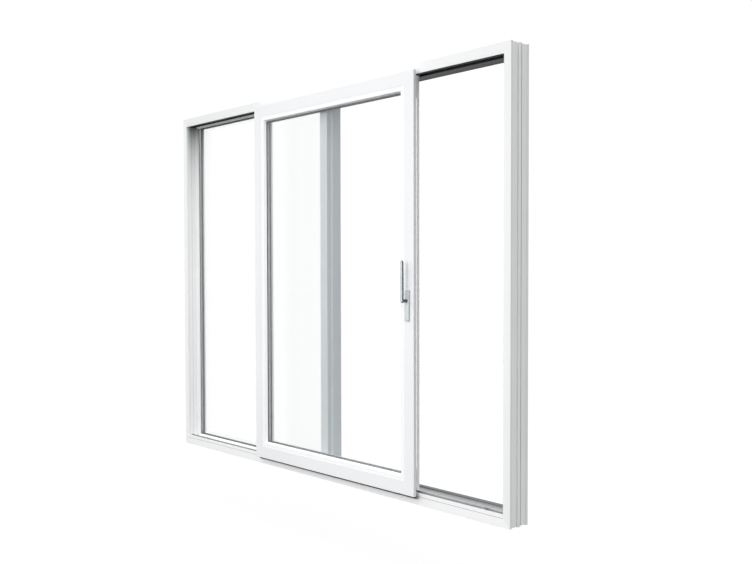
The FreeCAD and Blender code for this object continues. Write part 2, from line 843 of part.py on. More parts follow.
# Drain hoods on the outside of the sill.
hoods = new_body("drain_hoods")
hood_outline = new_sketch(hoods, "HoodSection", "YZ_Plane")
add_outline(hood_outline, [
    (ZERO, ZERO),
    (size.hood_depth, ZERO),
    (size.hood_depth, size.hood_height / 2),
    (ZERO, size.hood_height),
])
hood_pad = pad(hoods, hood_outline, size.hood_length)
doc.recompute()
hood_row = hoods.newObject("PartDesign::LinearPattern", "HoodRow")
hood_row.Originals = [hood_pad]
hood_row.Direction = (origin_plane(hoods, "X_Axis"), [""])
hood_row.Occurrences = HOODS
set_size(hood_row, "Length", size.frame_width - size.hood_inset * 2 - size.hood_length)
hoods.Tip = hood_row
place(hoods, frame_left + size.hood_inset, frame_front + size.frame_depth, size.hood_bottom)

# Lock edge: faceplate let into the stile, and keepers on the jamb.
faceplate_bottom = sash_bottom + size.faceplate_end_gap
faceplate_length = sash_height - size.faceplate_end_gap * 2
slab("lock_faceplate", sash_right - hardware_floor, faceplate_bottom,
     size.faceplate_thickness, faceplate_length, sash_front + hardware_front,
     size.hardware_groove_width)

keepers = new_body("lock_keepers")
keeper_outline = new_sketch(keepers, "KeeperOutlines", "YZ_Plane")
lowest_keeper = faceplate_bottom + size.keeper_end_gap
for foot in (ZERO,
             size.spindle_height - lowest_keeper - size.keeper_length / 2,
             faceplate_length - size.keeper_end_gap * 2 - size.keeper_length):
    add_outline(keeper_outline, rectangle(
        ZERO, foot, size.keeper_width, foot + size.keeper_length))
pad(keepers, keeper_outline, size.keeper_thickness)
place(keepers, between_right - size.keeper_thickness, frame_front + mullion_front, lowest_keeper)

# Handle: a backplate on the lock stile and a lever that stands off it, pointing up.
spindle_x = sash_right - size.handle_inset
backplate = new_body("handle_backplate")
plate_outline = new_sketch(backplate, "PlateOutline", "XZ_Plane")
add_outline(plate_outline, rectangle(ZERO, ZERO, size.plate_width, size.plate_length))
add_circle(plate_outline, size.plate_width / 2, size.plate_length - size.plate_top,
           size.plate_bore_radius)
plate_pad = pad(backplate, plate_outline, size.plate_thickness, reverse=True)
plate_corners = round_edges(
    backplate, plate_pad,
    lambda start, end: abs(start.y - end.y) > CLOSE,
    size.plate_corner_round)
round_edges(
    backplate, plate_corners,
    lambda start, end: max(abs(start.y), abs(end.y)) < CLOSE,
    size.plate_rim_round)
place(backplate, spindle_x - size.plate_width / 2, sash_front - size.plate_thickness,
      size.spindle_height - size.plate_length + size.plate_top)

lever = new_body("handle_lever")
lever_side = new_sketch(lever, "LeverSide", "YZ_Plane")
add_outline(lever_side, [
    (ZERO, ZERO),
    (size.lever_thickness, ZERO),
    (size.lever_tip_thickness, size.lever_length),
    (ZERO, size.lever_length),
])
pad(lever, lever_side, size.lever_width)
lever_sides = new_sketch(lever, "LeverTaper", "XZ_Plane")
tip_inset = (size.lever_width - size.lever_tip_width) / 2
add_outline(lever_sides, [
    (ZERO, ZERO), (tip_inset, size.lever_length), (ZERO, size.lever_length)])
add_outline(lever_sides, [
    (size.lever_width, ZERO), (size.lever_width, size.lever_length),
    (size.lever_width - tip_inset, size.lever_length)])
grip = cut_both_ways(lever, lever_sides, size.lever_thickness)
round_edges(lever, grip, lambda start, end: True, size.lever_edge_round)
neck = new_sketch(lever, "NeckSection", "XZ_Plane")
add_circle(neck, size.lever_width / 2, size.lever_heel, size.neck_radius)
neck_start = size.lever_thickness / 2
set_size(neck, "AttachmentOffset.Base.z", -neck_start)
pad(lever, neck, size.lever_reach - size.plate_thickness + size.neck_engagement - neck_start,
    reverse=True)
place(lever, spindle_x - size.lever_width / 2, sash_front - size.lever_reach,
      size.spindle_height - size.lever_heel)

# Every feature has to be sound before anything is written.
doc.recompute()
for feature in doc.Objects:
    if "Invalid" in feature.State or "Error" in feature.State:
        raise RuntimeError("failed: %s %s" % (feature.Name, feature.State))
for subpart in subparts:
    if subpart.Shape.isNull() or not subpart.Shape.isValid():
        raise RuntimeError("bad shape: " + subpart.Label)

os.makedirs("parts", exist_ok=True)
for subpart in subparts:
    subpart.Shape.exportStep("parts/%s.step" % subpart.Label)
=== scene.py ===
"""A white sliding patio door: a fixed light on the left and a sash that slides in front of it.

All lengths are in metres. X runs along the door, Y from the room outwards and Z up.
"""

import math

import bmesh
import bpy
import numpy as np
from mathutils import Euler, Matrix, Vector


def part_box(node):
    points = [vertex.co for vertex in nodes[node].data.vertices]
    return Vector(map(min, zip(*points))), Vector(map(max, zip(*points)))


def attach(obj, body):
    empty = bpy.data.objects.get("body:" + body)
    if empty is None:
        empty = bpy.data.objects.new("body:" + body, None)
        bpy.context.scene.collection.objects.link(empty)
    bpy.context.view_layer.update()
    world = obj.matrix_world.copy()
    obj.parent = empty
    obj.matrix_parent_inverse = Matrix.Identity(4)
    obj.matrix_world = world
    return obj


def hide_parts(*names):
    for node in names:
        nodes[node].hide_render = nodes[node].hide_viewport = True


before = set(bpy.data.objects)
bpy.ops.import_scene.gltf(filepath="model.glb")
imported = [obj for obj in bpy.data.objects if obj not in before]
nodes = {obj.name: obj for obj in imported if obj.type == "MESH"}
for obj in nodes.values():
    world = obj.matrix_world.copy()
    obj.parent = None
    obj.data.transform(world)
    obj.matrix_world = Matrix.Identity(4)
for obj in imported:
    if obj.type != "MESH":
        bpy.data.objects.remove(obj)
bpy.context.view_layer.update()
X, Y, Z = 0, 1, 2


# Shader nodes

# The width of the soft edge of a box that has its own colour.
BOX_FADE = 0.0005


class Value:
    """A number that runs through a material: arithmetic on it adds Math nodes."""

    def __init__(self, finish, socket):
        self.finish = finish
        self.socket = socket

    def __add__(self, other):
        return self.finish.calculate("ADD", self, other)

    def __radd__(self, other):
        return self.finish.calculate("ADD", other, self)

    def __sub__(self, other):
        return self.finish.calculate("SUBTRACT", self, other)

    def __rsub__(self, other):
        return self.finish.calculate("SUBTRACT", other, self)

    def __mul__(self, other):
        return self.finish.calculate("MULTIPLY", self, other)

    def __rmul__(self, other):
        return self.finish.calculate("MULTIPLY", other, self)

    def __truediv__(self, other):
        return self.finish.calculate("DIVIDE", self, other)

    def __abs__(self):
        return self.finish.calculate("ABSOLUTE", self)


def opaque(colour):
    """A colour with full alpha. The output of another node stays as it is."""
    return (*colour, 1.0) if isinstance(colour, tuple) else colour


class Finish:
    """One material, or the world, built node by node."""

    def __init__(self, owner):
        owner.use_nodes = True
        self.owner = owner
        self.tree = owner.node_tree
        self.tree.nodes.clear()

    def add(self, kind, settings=None, sockets=None):
        """Add a node: its settings first, then a value or a link for each socket named."""
        node = self.tree.nodes.new(kind)
        for name, setting in (settings or {}).items():
            setattr(node, name, setting)
        for name, given in (sockets or {}).items():
            if isinstance(given, Value):
                given = given.socket
            if isinstance(given, bpy.types.NodeSocket):
                self.tree.links.new(given, node.inputs[name])
            else:
                node.inputs[name].default_value = given
        return node

    def value(self, kind, settings=None, sockets=None, output=0):
        """Add a node and give one of its outputs as a Value."""
        return Value(self, self.add(kind, settings, sockets).outputs[output])

    def calculate(self, operation, *values):
        """One Math node on Values and plain numbers."""
        return self.value("ShaderNodeMath", {"operation": operation}, dict(enumerate(values)))

    def mix(self, share, first, second):
        """Blend two colours by a share that changes over the surface."""
        return self.add("ShaderNodeMix", {"data_type": "RGBA"}, {
            0: share, 6: opaque(first), 7: opaque(second)}).outputs[2]

    def place(self):
        """The place on the piece, as a vector."""
        return self.add("ShaderNodeTexCoord").outputs["Object"]

    def axes(self, place):
        """A place's three coordinates, as Values."""
        split = self.add("ShaderNodeSeparateXYZ", {}, {0: place})
        return [Value(self, socket) for socket in split.outputs]

    def noise(self, place, scale, detail=2.0):
        """Fractal noise, from about 0.3 to 0.7."""
        return self.value("ShaderNodeTexNoise", {}, {
            "Vector": place, "Scale": scale, "Detail": detail})

    def stretched(self, place, axis, amount):
        """The same place, drawn out along one axis so that a pattern on it runs that way."""
        scale = [1.0, 1.0, 1.0]
        scale[axis] = 1.0 / amount
        return self.add("ShaderNodeMapping", {}, {"Vector": place, "Scale": scale}).outputs[0]

    def ramp(self, number, low, high):
        """0 below low, 1 above high and a straight line from one to the other."""
        return self.value("ShaderNodeMapRange", {"clamp": True}, {
            "Value": number, "From Min": low, "From Max": high})

    def within(self, axes, limits):
        """1 inside a box given as {axis: (low, high)} and 0 outside. None leaves a side open."""
        inside = 1.0
        for axis, (low, high) in limits.items():
            if low is not None:
                inside = self.ramp(axes[axis], low, low + BOX_FADE) * inside
            if high is not None:
                inside = (1 - self.ramp(axes[axis], high - BOX_FADE, high)) * inside
        return inside

    def surface(self, shader):
        """Make a shader the material's surface, and give the material."""
        self.add("ShaderNodeOutputMaterial", {}, {"Surface": shader.outputs[0]})
        return self.owner

    def skin(self, colour, roughness, relief, strength, height, others=None):
        """A surface with a colour, a roughness and a relief of some strength and height."""
        bump = self.add("ShaderNodeBump", {}, {
            "Strength": strength, "Distance": height, "Height": relief})
        return self.surface(self.add("ShaderNodeBsdfPrincipled", {}, {
            "Base Color": colour, "Roughness": roughness, "Normal": bump.outputs[0],
            **(others or {})}))

    def seen(self):
        """1 for what the camera sees, itself or in a mirror, and 0 for light that falls."""
        ray = self.add("ShaderNodeLightPath").outputs
        return self.calculate("MAXIMUM", ray["Is Camera Ray"], ray["Is Glossy Ray"])


def new_finish(name):
    """A new material, as a Finish without nodes."""
    return Finish(bpy.data.materials.new(name))


# Finishes

# A low refractive index keeps the satin plastic and the pile from shining.
SATIN_IOR = 1.2
# Half the width of a weld, and the width of its soft edge. A joint's soft edge is given too.
WELD_HALF, WELD_FADE, WELD_GREY = 0.0002, 0.0005, (0.62, 0.63, 0.64)
JOINT_FADE, JOINT_GREY = 0.0006, (0.30, 0.31, 0.32)
# The painted shade under the head: how fast it falls off downwards, and where it starts and is full
# along Y, before and beyond the depth that it is given.
PAINTED_SHADE_FALL, PAINTED_SHADE_BEFORE, PAINTED_SHADE_BEYOND = 0.18, 0.025, 0.003
PAINTED_SHADE_SHARE, PAINTED_SHADE_GREY = 0.95, (0.07, 0.085, 0.085)


def white_plastic(name, tones, along, edges, zones=(), joints=(), shade=None):
    """Extruded satin plastic: fine drawn lines, a faint cloudy tone and a weld at each mitre.

    tones are its palest and its deepest white, and edges those of the rectangle it is part of.
    The weld is where the distances to the rectangle's nearest side and nearest end are equal.
    Each of zones is a colour and the limits of the box that has it, by axis. Each of joints is
    an axis, a place on it, a width, a strength and the limits of its box, and shows as a thin
    dirty line. shade is a height, a depth and the limits of its box for a painted shade under the
    head: down from that height the painted shade falls off as exp(-distance / PAINTED_SHADE_FALL),
    and it grows along Y up to that depth.
    """
    pale, deep = tones
    middle, half_width, bottom, top = edges
    finish = new_finish(name)
    place = finish.place()
    axes = finish.axes(place)
    lines = finish.noise(finish.stretched(place, along, 300.0), 700.0, 3.0)
    clouds = finish.noise(place, 2.3, 3.0)
    grain = finish.noise(place, 1800.0)
    tone = finish.ramp(clouds * 0.8 + lines * 0.2, 0.35, 0.65)
    colour = finish.mix(tone, deep, pale)
    for hue, limits in zones:
        colour = finish.mix(finish.within(axes, limits), colour, hue)
    for axis, spot, width, strength, limits in joints:
        off_line = finish.ramp(abs(axes[axis] - spot), width / 2, width / 2 + JOINT_FADE)
        line = (1 - off_line) * finish.within(axes, limits)
        colour = finish.mix(line * strength, colour, JOINT_GREY)
    # Painted shade: darker down from a height, and more so deeper along Y.
    if shade:
        high, deep_in, limits = shade
        below = finish.calculate("EXPONENT", (axes[Z] - high) / PAINTED_SHADE_FALL)
        painted_shade_behind = finish.ramp(axes[Y], deep_in - PAINTED_SHADE_BEFORE, deep_in + PAINTED_SHADE_BEYOND)
        painted_shade_mask = below * painted_shade_behind * finish.within(axes, limits)
        colour = finish.mix(painted_shade_mask * PAINTED_SHADE_SHARE, colour, PAINTED_SHADE_GREY)
    from_side = half_width - abs(axes[X] - middle)
    from_end = (top - bottom) / 2 - abs(axes[Z] - (top + bottom) / 2)
    weld = 1 - finish.ramp(abs(from_side - from_end), WELD_HALF, WELD_HALF + WELD_FADE)
    colour = finish.mix(weld * 0.12, colour, WELD_GREY)
    roughness = 0.34 + 0.14 * lines + 0.08 * clouds
    relief = lines * 0.6 + grain * 0.4 - weld
    return finish.skin(colour, roughness, relief, 0.25, 0.0003, {"IOR": SATIN_IOR})


def clear_glass(name):
    """Float glass: see-through with a faint green, and a mirror that grows towards grazing.

    The mirror's share is 0.006 + 0.9 g^5 + 0.002 haze, with g from 0 face on to 1 at grazing.
    """
    finish = new_finish(name)
    grazing = finish.value("ShaderNodeLayerWeight", {}, {"Blend": 0.5}, "Facing")
    haze = finish.ramp(finish.noise(finish.place(), 1.7), 0.3, 0.7)
    mirror = 0.006 + 0.9 * finish.calculate("POWER", grazing, 5.0) + 0.002 * haze
    through = finish.add("ShaderNodeBsdfTransparent", {}, {"Color": opaque((0.997, 0.999, 0.999))})
    gloss = finish.add("ShaderNodeBsdfGlossy", {}, {
        "Color": opaque((1.0, 1.0, 1.0)), "Roughness": 0.0})
    return finish.surface(finish.add("ShaderNodeMixShader", {}, {
        0: mirror, 1: through.outputs[0], 2: gloss.outputs[0]}))


def rubber(name, colour, fleck):
    """Matt rubber: a fine bloom of dust over the colour and a tight grain."""
    finish = new_finish(name)
    place = finish.place()
    bloom = finish.ramp(finish.noise(place, 60.0, 4.0), 0.4, 0.7)
    grain = finish.noise(place, 1500.0)
    return finish.skin(finish.mix(bloom * 0.5, colour, fleck), 0.62 + 0.2 * grain,
                       grain, 0.4, 0.0003)


def metal(name, bright, dull, along, roughness, metallic=1.0, painted_shade_behind=None):
    """Drawn or brushed metal: scratches along one axis over a slow change of tone.

    painted_shade_behind is two depths along Y and a darker colour of painted shade, which the metal
    takes from one depth to the other and keeps past it.
    """
    finish = new_finish(name)
    place = finish.place()
    scratches = finish.noise(finish.stretched(place, along, 60.0), 1600.0, 3.0)
    patches = finish.ramp(finish.noise(place, 35.0, 3.0), 0.35, 0.65)
    colour = finish.mix(patches, dull, bright)
    # Painted shade: darker past a depth along Y.
    if painted_shade_behind:
        start, end, hue = painted_shade_behind
        colour = finish.mix(finish.ramp(finish.axes(place)[Y], start, end), colour, hue)
    return finish.skin(colour, roughness + 0.15 * scratches + 0.05 * patches,
                       scratches, 0.3, 0.0002, {"Metallic": metallic})


def brush_pile(name):
    """Black pile: bristles that stand across the strip, a little greyer in tufts."""
    finish = new_finish(name)
    place = finish.place()
    bristles = finish.noise(finish.stretched(place, Z, 40.0), 2600.0)
    tufts = finish.ramp(finish.noise(place, 90.0), 0.4, 0.7)
    colour = finish.mix(tufts * bristles, (0.008, 0.008, 0.009), (0.05, 0.05, 0.052))
    return finish.skin(colour, 0.8 + 0.15 * bristles, bristles, 0.7, 0.0006, {"IOR": SATIN_IOR})


def use(material, *names):
    """Give CAD nodes their finish."""
    for name in names:
        mesh = nodes[name].data
        mesh.materials.clear()
        mesh.materials.append(material)


# Places on the CAD pieces

def mitred_edges(low, high):
    """A rectangle's middle and half width along X, and its bottom and top."""
    return (low[X] + high[X]) / 2, (high[X] - low[X]) / 2, low[Z], high[Z]


frame_low, frame_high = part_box("frame_sill")[0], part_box("frame_head")[1]
frame_edges = mitred_edges(frame_low, frame_high)
sash_low, sash_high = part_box("sash_bottom_rail")[0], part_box("sash_top_rail")[1]
sash_edges = mitred_edges(sash_low, sash_high)
head_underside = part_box("frame_head")[0][Z]
sill_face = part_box("bottom_track")[0][Z]
guide_low, guide_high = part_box("head_guide")
mullion_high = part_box("centre_mullion")[1]
threshold_low, threshold_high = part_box("sill_infill")
fixed_low, fixed_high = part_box("fixed_bead_left")
faceplate_low, faceplate_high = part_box("lock_faceplate")
keeper_low, keeper_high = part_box("lock_keepers")
plate_low, plate_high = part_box("handle_backplate")
lever_low, lever_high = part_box("handle_lever")
front = frame_low[Y]
# Just short of the frame's rear face, so that what colours the inner faces stops before it.
rear = frame_high[Y] - 0.0015
# The track and the head guide are white on their front lip alone. Behind it they are grey, a grey
# skin darkened further as painted shade in their channels.
lip_back = front + 0.0034
# Past this depth the faces under the head get painted shade.
shadow_depth = front + 0.027


# The plastic pieces. Each white is its palest and its deepest tone.

FRAME_WHITE = ((0.905, 0.912, 0.914), (0.885, 0.893, 0.896))
SASH_WHITE = ((0.900, 0.912, 0.922), (0.880, 0.893, 0.903))
# Painted light: the beads are whiter than the frame, so that their slopes read bright where little
# light falls.
BEAD_PAINTED_LIGHT_WHITE = ((0.985, 0.990, 0.992), (0.970, 0.975, 0.978))
# Painted light: the sill and the track's lip are whiter than the frame, to stand in for light on
# them.
SILL_PAINTED_LIGHT_WHITE = ((0.975, 0.978, 0.980), (0.955, 0.960, 0.963))
# Painted light: the left jamb is whiter than the frame, so that its reveal reads bright.
REVEAL_PAINTED_LIGHT_WHITE = ((0.965, 0.970, 0.972), (0.945, 0.952, 0.956))
# Painted shade: the mullion is greyer than the frame, as it lies in shade behind the sash's glass,
# and its doorway side is greyer still.
MULLION_PAINTED_SHADE_WHITE = ((0.765, 0.805, 0.815), (0.745, 0.785, 0.795))
MULLION_SIDE_PAINTED_SHADE = (0.57, 0.62, 0.645)
# Painted shade on the soffit of the head's rear part.
SOFFIT_PAINTED_SHADE = (0.16, 0.165, 0.17)
# Grey inside the head guide and the track: a grey skin, darkened further as painted shade in the
# channels.
CHANNEL_GREY_AND_SHADE = (0.13, 0.135, 0.14)
TRACK_GREY_AND_SHADE = (0.30, 0.31, 0.32)
# Painted shade on the lock stile's side face, and on its body behind the flange.
STILE_SIDE_PAINTED_SHADE, FLANGE_SIDE_PAINTED_SHADE = (0.72, 0.74, 0.76), (0.80, 0.82, 0.84)

# Each joint of a jamb: its distance from the frame's front, its width and its strength.
REVEAL_JOINTS = ((0.012, 0.002, 0.25), (0.037, 0.004, 0.25), (0.066, 0.004, 0.30))
OUTER_JOINTS = ((0.0055, 0.009, 0.16), (0.0745, 0.005, 0.75), (0.1150, 0.014, 0.12))
# The outer side of a jamb is stepped, and all of it lies within this distance of its edge.
JAMB_OUTER_STEPS = 0.020


def upright_joints(joints, limits):
    """A jamb's joints, as white_plastic takes them."""
    return [(Y, front + depth, width, strength, limits) for depth, width, strength in joints]


sill_joint = (Z, sill_face, 0.0014, 0.9, {})
left_skin, right_skin = frame_low[X] + JAMB_OUTER_STEPS, frame_high[X] - JAMB_OUTER_STEPS
reveal = {X: (left_skin, right_skin), Y: (None, rear)}
# The left jamb is whiter than the right as painted light, and gets painted shade under the head.
for jamb, tones, has_painted_shade, outer_side in (
        ("left_jamb", REVEAL_PAINTED_LIGHT_WHITE, True, {X: (None, left_skin)}),
        ("right_jamb", FRAME_WHITE, False, {X: (right_skin, None)})):
    use(white_plastic(
        jamb + "_plastic", tones, Z, frame_edges,
        joints=upright_joints(REVEAL_JOINTS, reveal) + upright_joints(OUTER_JOINTS, outer_side),
        shade=(guide_high[Z], shadow_depth, reveal) if has_painted_shade else None), jamb)

# The sill is whiter than the frame as painted light.
use(white_plastic("sill_plastic_painted_light", SILL_PAINTED_LIGHT_WHITE, X, frame_edges, joints=[sill_joint]),
    "frame_sill", "drain_hoods")
# The head's soffit past the shadow depth is painted dark as shade.
soffit_shade_box = {Y: (shadow_depth, rear), Z: (None, head_underside + 0.03)}
use(white_plastic("head_plastic_painted_shade", FRAME_WHITE, X, frame_edges, zones=[(SOFFIT_PAINTED_SHADE, soffit_shade_box)]),
    "frame_head")
# The beads are whiter than the frame as painted light.
use(white_plastic("fixed_bead_plastic_level", BEAD_PAINTED_LIGHT_WHITE, X, frame_edges),
    "fixed_bead_top", "fixed_bead_bottom")
# The fixed light's upright beads get the same painted shade under the head.
use(white_plastic("fixed_bead_plastic_upright_painted_shade", FRAME_WHITE, Z, frame_edges,
                  shade=(guide_high[Z], shadow_depth, {})),
    "fixed_bead_left", "fixed_bead_right")
use(white_plastic("frame_plastic_upright", FRAME_WHITE, Z, frame_edges), "jamb_infill")
behind_lip = {Y: (lip_back, None)}
use(white_plastic("track_plastic_painted_light_and_shade", SILL_PAINTED_LIGHT_WHITE, X, frame_edges,
                  zones=[(TRACK_GREY_AND_SHADE, behind_lip)], joints=[sill_joint]), "bottom_track")
use(white_plastic("guide_plastic", FRAME_WHITE, X, frame_edges,
                  zones=[(CHANNEL_GREY_AND_SHADE, behind_lip)]), "head_guide")
# Painted shade on the mullion: greyer all over and on its doorway side, with its rear face left
# white.
mullion_side_shade = {X: (mullion_high[X] - 0.0014, None)}
mullion_rear = {Y: (mullion_high[Y] - 0.004, None)}
use(white_plastic("mullion_plastic_painted_shade", MULLION_PAINTED_SHADE_WHITE, Z, frame_edges,
                  zones=[(MULLION_SIDE_PAINTED_SHADE, mullion_side_shade), (FRAME_WHITE[0], mullion_rear)]),
    "centre_mullion")

use(white_plastic("sash_plastic_level", SASH_WHITE, X, sash_edges),
    "sash_top_rail", "sash_bottom_rail")
use(white_plastic("sash_plastic_upright", SASH_WHITE, Z, sash_edges), "meeting_stile")
# The lock stile's side and the body behind its flange are painted darker as shade.
stile_side_shade = {X: (sash_high[X] - 0.0012, None)}
flange_side_shade = {X: (faceplate_high[X] - 0.0005, None), Y: (front - 0.026, None)}
use(white_plastic("lock_stile_plastic_painted_shade", SASH_WHITE, Z, sash_edges,
                  zones=[(STILE_SIDE_PAINTED_SHADE, stile_side_shade), (FLANGE_SIDE_PAINTED_SHADE, flange_side_shade)]),
    "lock_stile")
use(white_plastic("bead_plastic_level", BEAD_PAINTED_LIGHT_WHITE, X, sash_edges),
    "sash_bead_top", "sash_bead_bottom")
use(white_plastic("bead_plastic_upright", BEAD_PAINTED_LIGHT_WHITE, Z, sash_edges),
    "sash_bead_left", "sash_bead_right")


# Glass, rubber and metal

use(clear_glass("float_glass"),
    "fixed_pane_inner", "fixed_pane_outer", "sash_pane_inner", "sash_pane_outer")
gasket_rubber = rubber("gasket_rubber", (0.045, 0.050, 0.052), (0.11, 0.12, 0.12))
grey_rubber = rubber("grey_gasket_rubber", (0.34, 0.35, 0.355), (0.44, 0.45, 0.46))
black_rubber = rubber("black_seal_rubber", (0.012, 0.013, 0.014), (0.03, 0.032, 0.034))
use(gasket_rubber, "fixed_gasket_inner", "sash_gasket_inner")
use(grey_rubber, "fixed_gasket_outer", "sash_gasket_outer")
use(rubber("flange_seal_rubber", (0.62, 0.63, 0.63), (0.72, 0.72, 0.72)), "sash_flange_seal")
use(rubber("buffer_rubber", (0.26, 0.265, 0.27), (0.34, 0.345, 0.35)), "track_buffers")
use(rubber("wheel_polymer", (0.04, 0.04, 0.043), (0.12, 0.12, 0.12)),
    "left_wheels", "right_wheels", "guide_shoes")
use(metal("spacer_aluminium", (0.50, 0.52, 0.53), (0.42, 0.44, 0.45), X, 0.42),
    "fixed_spacer", "sash_spacer")
use(metal("rail_aluminium", (0.62, 0.63, 0.64), (0.50, 0.51, 0.52), X, 0.28), "running_rail")
# Painted shade: the threshold darkens towards its rear, in its channel.
use(metal("threshold_aluminium", (0.62, 0.63, 0.64), (0.52, 0.53, 0.54), X, 0.45,
          painted_shade_behind=(threshold_low[Y] + 0.010, threshold_high[Y] - 0.012, (0.20, 0.205, 0.21))),
    "sill_infill")
# Dark aluminium, painted near black as the shade under the head.
use(metal("head_aluminium_painted_shade", (0.042, 0.045, 0.048), (0.030, 0.033, 0.036), X, 0.45), "head_infill")
use(metal("plated_steel", (0.66, 0.67, 0.69), (0.52, 0.53, 0.56), X, 0.32),
    "left_roller_carriage", "right_roller_carriage")
use(metal("lock_steel", (0.86, 0.87, 0.88), (0.78, 0.79, 0.80), Z, 0.14),
    "lock_faceplate", "lock_keepers")
# Painted shade on the cover plate's sides. Its front is left light.
plate_metal_painted_shade = metal("plate_metal_painted_shade", (0.63, 0.67, 0.68), (0.55, 0.59, 0.60), Z, 0.36, metallic=0.7,
                    painted_shade_behind=(plate_low[Y] + 0.001, plate_low[Y] + 0.003, (0.52, 0.54, 0.55)))
# Painted shade on the lever's flanks. Its front is left light.
lever_metal_painted_shade = metal("lever_metal_painted_shade", (0.56, 0.62, 0.64), (0.50, 0.56, 0.58), Z, 0.30, metallic=0.7,
                    painted_shade_behind=(lever_low[Y] + 0.0004, lever_low[Y] + 0.0014, (0.10, 0.11, 0.115)))
screw_steel = metal("screw_steel", (0.62, 0.63, 0.65), (0.50, 0.51, 0.53), Y, 0.28)


# New pieces

MERGE_DISTANCE = 1e-6
SHARP_EDGE = math.radians(40)


def points(x, y, z):
    """Points from their coordinates, each repeated where it doesn't change."""
    return np.stack(np.broadcast_arrays(x, y, z), axis=-1)


def add_piece(name, grids, material, body, around=False, along=False):
    """Make a mesh from grids of points, each with rows along the piece and columns across it.

    around joins the last column to the first, and along joins the last row to the first. A
    grid that is closed around but not along has both ends capped by a fan to the row's middle.
    """
    corners, faces, start = [], [], 0
    for grid in grids:
        rows, columns = grid.shape[:2]
        index = start + np.arange(rows * columns).reshape(rows, columns)
        corners.append(grid.reshape(-1, 3))
        start += rows * columns
        if along:
            index = np.vstack([index, index[:1]])
        if around:
            index = np.hstack([index, index[:, :1]])
        quads = np.stack([index[:-1, :-1], index[:-1, 1:], index[1:, 1:], index[1:, :-1]], axis=-1)
        faces += quads.reshape(-1, 4).tolist()
        if around and not along:
            for row, rim in ((0, index[0, ::-1]), (-1, index[-1])):
                corners.append(grid[row].mean(axis=0, keepdims=True))
                faces += [[a, b, start] for a, b in zip(rim[:-1].tolist(), rim[1:].tolist())]
                start += 1
    mesh = bpy.data.meshes.new(name)
    mesh.from_pydata(np.concatenate(corners).tolist(), [], faces)
    mesh.polygons.foreach_set("use_smooth", np.ones(len(mesh.polygons), dtype=bool))
    mesh.materials.append(material)
    piece = bpy.data.objects.new(name, mesh)
    bpy.context.scene.collection.objects.link(piece)
    work = bmesh.new()
    work.from_mesh(mesh)
    bmesh.ops.remove_doubles(work, verts=work.verts, dist=MERGE_DISTANCE)
    bmesh.ops.recalc_face_normals(work, faces=work.faces)
    work.to_mesh(mesh)
    work.free()
    mesh.set_sharp_from_angle(angle=SHARP_EDGE)
    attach(piece, body)
    return piece


# Seals

# The glazing lips: how far the tongue reaches back, and where the round nose lies.
TONGUE = 0.0055
NOSE_INSET, NOSE_HEIGHT, NOSE_RADIUS = 0.0006, 0.0015, 0.0014


def round_rectangle(low, high, profile):
    """Carry a profile round an upright rectangle.

    The profile is (inset from the rectangle, depth along Y). Each corner of the rectangle has
    the whole profile, moved inwards by its inset along both X and Z, which gives the mitres.
    """
    inset, depth = np.array(profile).T
    corners = ((low[X], 1, low[Z], 1), (high[X], -1, low[Z], 1),
               (high[X], -1, high[Z], -1), (low[X], 1, high[Z], -1))
    return np.array([points(x + turn_x * inset, depth, z + turn_z * inset)
                     for x, turn_x, z, turn_z in corners])


def lip_profile(sight, glass, out):
    """Section of a glazing lip: a tongue in the slit that ends in a round nose on the glass.

    sight is the inset of the profile's edge, glass the depth of the glass's face, and out is
    -1 where the lip stands towards the room, or 1 towards the outside.
    """
    turn = np.linspace(-0.5, 0.5, 9) * math.pi
    nose = np.stack([sight + NOSE_INSET + NOSE_RADIUS * np.cos(turn),
                     glass + out * (NOSE_HEIGHT + NOSE_RADIUS * np.sin(turn))], axis=-1)
    tongue = [(sight - TONGUE, glass + out * (NOSE_HEIGHT + NOSE_RADIUS)),
              (sight - TONGUE, glass + out * (NOSE_HEIGHT - NOSE_RADIUS))]
    return nose.tolist() + tongue


def glazing_lips(name, unit, low, high, sight, body):
    """A rubber lip on each face of a glass unit, between its beads or legs and the glass."""
    inner_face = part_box(unit + "_pane_inner")[0][Y]
    outer_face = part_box(unit + "_pane_outer")[1][Y]
    for side, face, out, material in (("inner", inner_face, -1, gasket_rubber),
                                      ("outer", outer_face, 1, grey_rubber)):
        add_piece(name + "_" + side, [round_rectangle(low, high, lip_profile(sight, face, out))],
                  material, body, around=True, along=True)


glazing_lips("sash_lip", "sash", sash_low, sash_high,
             sash_high[X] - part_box("sash_bead_right")[0][X], "sash")
glazing_lips("fixed_lip", "fixed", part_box("fixed_bead_bottom")[0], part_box("fixed_bead_top")[1],
             fixed_high[X] - fixed_low[X], "frame")

PILE_BACK, PILE_HEIGHT, PILE_WAVE, PILE_ROWS = 0.004, 0.006, 0.0003, 3
# What a strip keeps from the pieces beside it, and sinks into the piece that carries it.
SEAL_GAP = 0.0005
# The width of the mullion's front, where the left strip ends.
MULLION_FACE = 0.061


def pile_strip(start, end, front_face, back_face, root):
    """Three rows of pile along X under a flat back.

    Across the strip, with u from 0 to 1, the pile stands down by 4 + 6 |sin(3 pi u)|^0.6 mm,
    and a slow wave along X of 0.3 mm makes it a little uneven.
    """
    u = np.linspace(0.0, 1.0, 37)
    along = np.linspace(start, end, 48)[:, None]
    height = PILE_BACK + PILE_HEIGHT * np.abs(np.sin(PILE_ROWS * math.pi * u)) ** 0.6
    wave = PILE_WAVE * np.sin(along * 19.0) * np.sin(math.pi * u)
    section = np.concatenate([front_face + (back_face - front_face) * u, [back_face, front_face]])
    level = np.hstack([root - height + wave, np.full((len(along), 2), root)])
    return points(along, section, level)


